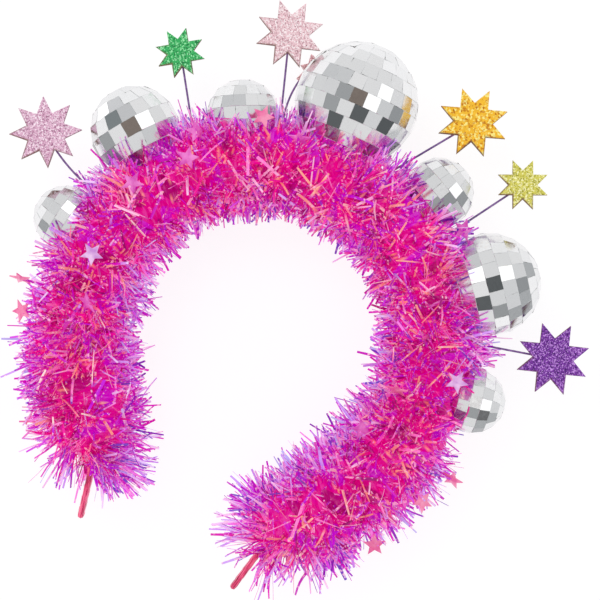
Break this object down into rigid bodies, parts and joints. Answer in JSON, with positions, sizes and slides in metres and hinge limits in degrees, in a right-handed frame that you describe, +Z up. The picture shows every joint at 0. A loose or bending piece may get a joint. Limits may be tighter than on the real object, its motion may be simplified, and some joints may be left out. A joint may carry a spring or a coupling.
{
  "type": "mirror ball party headband",
  "caption": "Party headband: a satin-wrapped band in a full pink tinsel garland, with mirror balls and glitter stars on wires standing out along its crown.",
  "frame": {"origin": "on the surface that the headband lies on, under the middle of its bounding box", "axes": "+Z up, square to the plane of the band; +Y towards the crown of the band; +X towards the right-hand leg as seen from above"},
  "size_m": [0.2524, 0.2266, 0.0521],
  "materials": {
    "satin": "satin ribbon wound on a slant",
    "tinsel": "cut foil film, iridescent, magenta with coral and violet strands",
    "mirror_tiles": "small flat mirror tiles",
    "cap_metal": "bright",
    "wire_enamel": "purple enamel",
    "glitter_lilac": "glitter on foam sheet",
    "glitter_green": "glitter on foam sheet",
    "glitter_pink": "glitter on foam sheet",
    "glitter_rose": "glitter on foam sheet",
    "glitter_orange": "coarse bright glitter on foam sheet",
    "glitter_yellow": "glitter on foam sheet",
    "glitter_purple": "glitter on foam sheet",
    "sequin_rose": "pearly film",
    "sequin_lilac": "pearly film",
    "sequin_coral": "pearly film"
  },
  "bodies": {
    "root": {"band": "satin", "tinsel_garland": "tinsel", "mirror_ball_1": "mirror_tiles", "ball_cap_1": "cap_metal", "mirror_ball_2": "mirror_tiles", "ball_cap_2": "cap_metal", "mirror_ball_3": "mirror_tiles", "ball_cap_3": "cap_metal", "mirror_ball_4": "mirror_tiles", "ball_cap_4": "cap_metal", "mirror_ball_5": "mirror_tiles", "ball_cap_5": "cap_metal", "mirror_ball_6": "mirror_tiles", "ball_cap_6": "cap_metal", "mirror_ball_7": "mirror_tiles", "ball_cap_7": "cap_metal", "star_wire_lilac": "wire_enamel", "star_wire_green": "wire_enamel", "star_wire_pink": "wire_enamel", "star_wire_orange": "wire_enamel", "star_wire_yellow": "wire_enamel", "star_wire_purple": "wire_enamel", "star_wire_rose": "wire_enamel", "sequin_rose_1": "sequin_rose", "sequin_rose_2": "sequin_rose", "sequin_rose_3": "sequin_rose", "sequin_lilac_4": "sequin_lilac", "sequin_rose_5": "sequin_rose", "sequin_coral_6": "sequin_coral", "sequin_coral_7": "sequin_coral", "sequin_coral_8": "sequin_coral", "sequin_rose_9": "sequin_rose", "sequin_rose_10": "sequin_rose", "sequin_lilac_11": "sequin_lilac", "sequin_coral_12": "sequin_coral", "sequin_rose_13": "sequin_rose", "sequin_coral_14": "sequin_coral", "sequin_coral_15": "sequin_coral", "sequin_coral_16": "sequin_coral", "glitter_star_lilac": "glitter_lilac", "glitter_star_green": "glitter_green", "glitter_star_pink": "glitter_pink", "glitter_star_orange": "glitter_orange", "glitter_star_yellow": "glitter_yellow", "glitter_star_purple": "glitter_purple", "glitter_star_rose": "glitter_rose"}
  },
  "joints": []
}
